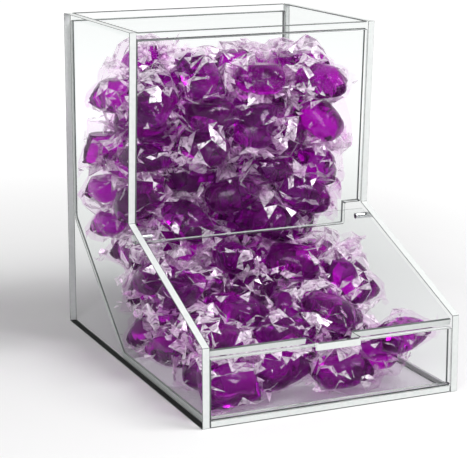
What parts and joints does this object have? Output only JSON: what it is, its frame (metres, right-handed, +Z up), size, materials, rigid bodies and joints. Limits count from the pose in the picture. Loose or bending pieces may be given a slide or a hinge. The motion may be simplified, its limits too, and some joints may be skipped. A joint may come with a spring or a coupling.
{
  "type": "laundry pod dispenser",
  "caption": "Clear acrylic gravity-fed bin full of purple laundry pods, with a loose top lid, a sloping ramp to an open tray and a slanted flap with a finger tab that lifts for scooping.",
  "frame": {"origin": "middle of the base's footprint, on the surface that it stands on", "axes": "+Z up, the tray and the flap face -Y, +X to the right when seen from the front"},
  "size_m": [0.18, 0.2683, 0.23],
  "materials": {
    "acrylic": "clear cast acrylic sheet with polished, bright cut edges",
    "pin": "plain turned steel",
    "pod": "purple liquid in crinkled clear film"
  },
  "bodies": {
    "bin": {"left_side": "acrylic", "right_side": "acrylic", "back_ramp_floor": "acrylic", "front_panel": "acrylic", "front_lip": "acrylic", "top_lid": "acrylic", "pods": "pod"},
    "flap": {"front_flap": "acrylic", "left_pin": "pin", "right_pin": "pin"}
  },
  "joints": [
    {"name": "flap_hinge", "type": "hinge", "parent": "bin", "child": "flap", "pos_m": [0, -0.00894, 0.09354], "axis": [-1, 0, 0], "range_deg": [0, 105]}
  ]
}
